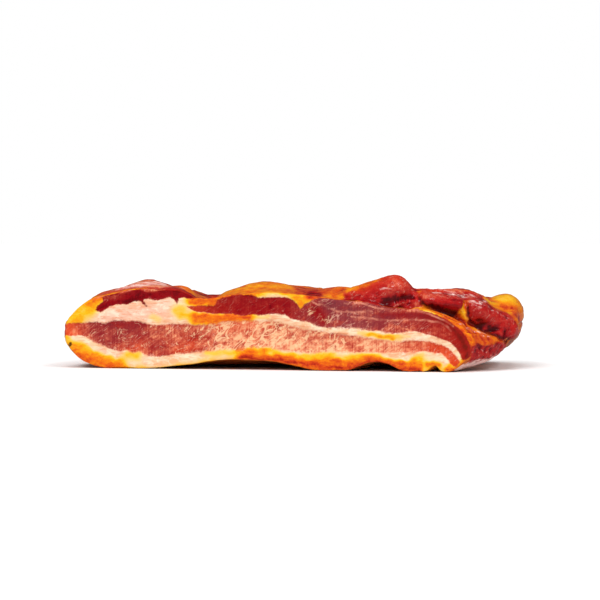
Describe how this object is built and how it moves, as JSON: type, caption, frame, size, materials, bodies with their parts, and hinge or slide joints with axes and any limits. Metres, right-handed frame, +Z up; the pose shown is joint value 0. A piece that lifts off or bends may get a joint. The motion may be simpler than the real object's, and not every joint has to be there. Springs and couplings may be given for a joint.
{
  "type": "pancetta",
  "caption": "Thick slab of smoked pork belly lying on its rind, with a streaky fresh cut face, dark dried muscle strands on top and one curled-up end.",
  "frame": {"origin": "centre of the bounding box in plan, at the level of the surface the slab lies on", "axes": "+X along the fresh cut face towards the curled end, +Y from the cut face to the smoked back, +Z up through the thickness"},
  "size_m": [0.2322, 0.1056, 0.048],
  "materials": {
    "cured_belly": "moist, slightly glossy cured meat with streaks of cream fat and dark red lean"
  },
  "bodies": {
    "root": {"pancetta": "cured_belly"}
  },
  "joints": []
}
